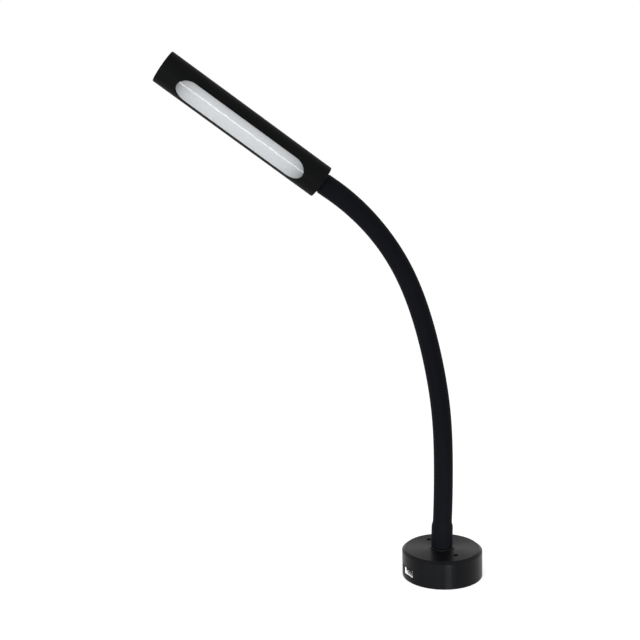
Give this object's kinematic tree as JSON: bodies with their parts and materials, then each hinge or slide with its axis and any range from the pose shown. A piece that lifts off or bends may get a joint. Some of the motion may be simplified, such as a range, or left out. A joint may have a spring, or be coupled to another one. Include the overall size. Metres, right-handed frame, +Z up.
{
  "type": "gooseneck desk lamp",
  "caption": "Desk lamp with a weighted round base, a flexible sleeved arm that stays where it is bent, and a tubular LED head with a long diffuser window.",
  "frame": {"origin": "centre of the base's underside, on the desk", "axes": "+Z up, the arm leans towards -X, the head's window faces -Y and down"},
  "size_m": [0.3022, 0.08, 0.516],
  "materials": {
    "shell_black": "satin powder coat",
    "plate_steel": "zinc plated",
    "pad_rubber": "matte",
    "screw_steel": "blackened",
    "panel_black": "fine grain",
    "port_metal": "plated",
    "port_core": "matte",
    "contact_brass": "plated",
    "switch_plastic": "matte",
    "board_green": "solder mask",
    "board_parts": "matte",
    "lead_black": "matte",
    "turned_steel": "turned",
    "sleeve_rubber": "soft matte",
    "hose_steel": "wound",
    "head_black": "anodised, satin",
    "diffuser_opal": "opal satin",
    "tray_aluminium": "mill finish",
    "led_yellow": "phosphor"
  },
  "bodies": {
    "base": {"base_housing": "shell_black", "base_plate": "plate_steel", "foot_pad": "pad_rubber", "plate_screws": "screw_steel", "counterweight": "plate_steel", "socket_panel": "panel_black", "usb_shell": "port_metal", "usb_tongue": "port_core", "usb_contacts": "contact_brass", "button_switch": "switch_plastic", "driver_board": "board_green", "driver_parts": "board_parts", "board_screws": "screw_steel", "inlet_body": "switch_plastic", "inlet_pin": "contact_brass", "inlet_lead": "lead_black", "arm_ring": "shell_black", "arm_stem": "turned_steel", "stem_nut": "turned_steel", "arm_sleeve_0": "sleeve_rubber", "arm_hose_0": "hose_steel", "arm_lead_0": "lead_black"},
    "button": {"power_button": "panel_black", "switch_plunger": "switch_plastic"},
    "arm_1": {"arm_sleeve_1": "sleeve_rubber", "arm_hose_1": "hose_steel", "arm_lead_1": "lead_black"},
    "arm_2": {"arm_sleeve_2": "sleeve_rubber", "arm_hose_2": "hose_steel", "arm_lead_2": "lead_black"},
    "arm_3": {"arm_sleeve_3": "sleeve_rubber", "arm_hose_3": "hose_steel", "arm_lead_3": "lead_black"},
    "arm_4": {"arm_sleeve_4": "sleeve_rubber", "arm_hose_4": "hose_steel", "arm_lead_4": "lead_black"},
    "arm_5": {"arm_sleeve_5": "sleeve_rubber", "arm_hose_5": "hose_steel", "arm_lead_5": "lead_black"},
    "arm_6": {"arm_sleeve_6": "sleeve_rubber", "arm_hose_6": "hose_steel", "arm_lead_6": "lead_black"},
    "arm_7": {"arm_sleeve_7": "sleeve_rubber", "arm_hose_7": "hose_steel", "arm_lead_7": "lead_black"},
    "head": {"arm_sleeve_8": "sleeve_rubber", "arm_hose_8": "hose_steel", "arm_lead_8": "lead_black", "head_tube": "head_black", "neck_cap": "head_black", "neck_screw": "screw_steel", "head_ferrule": "turned_steel", "ferrule_nut": "turned_steel", "tip_cap": "head_black", "diffuser": "diffuser_opal", "led_tray": "tray_aluminium", "led_board": "tray_aluminium", "led_chips": "led_yellow", "strip_screws": "screw_steel", "lead_block": "switch_plastic"}
  },
  "joints": [
    {"name": "button_press", "type": "slide", "parent": "base", "child": "button", "axis": [0.9397, 0.342, 0], "range_m": [0, 0.001], "stiffness_N_per_m": 800},
    {"name": "arm_bend_1", "type": "hinge", "parent": "base", "child": "arm_1", "pos_m": [0, 0, 0.066], "axis": [0, -1, 0], "range_deg": [-20, 20]},
    {"name": "arm_sway_2", "type": "hinge", "parent": "arm_1", "child": "arm_2", "pos_m": [0.00153, 0, 0.11606], "axis": [0.9981, 0, -0.061], "range_deg": [-20, 20]},
    {"name": "arm_bend_3", "type": "hinge", "parent": "arm_2", "child": "arm_3", "pos_m": [0.00044, 0, 0.16605], "axis": [0, -1, 0], "range_deg": [-20, 20]},
    {"name": "arm_sway_4", "type": "hinge", "parent": "arm_3", "child": "arm_4", "pos_m": [-0.00675, 0, 0.21561], "axis": [0.9833, 0, 0.1822], "range_deg": [-20, 20]},
    {"name": "arm_bend_5", "type": "hinge", "parent": "arm_4", "child": "arm_5", "pos_m": [-0.01843, 0, 0.26428], "axis": [0, -1, 0], "range_deg": [-20, 20]},
    {"name": "arm_sway_6", "type": "hinge", "parent": "arm_5", "child": "arm_6", "pos_m": [-0.03675, 0, 0.31079], "axis": [0.8949, 0, 0.4462], "range_deg": [-20, 20]},
    {"name": "arm_bend_7", "type": "hinge", "parent": "arm_6", "child": "arm_7", "pos_m": [-0.06428, 0, 0.35238], "axis": [0, -1, 0], "range_deg": [-20, 20]},
    {"name": "arm_sway_8", "type": "hinge", "parent": "arm_7", "child": "head", "pos_m": [-0.1005, 0, 0.38675], "axis": [0.6088, 0, 0.7934], "range_deg": [-20, 20]}
  ]
}
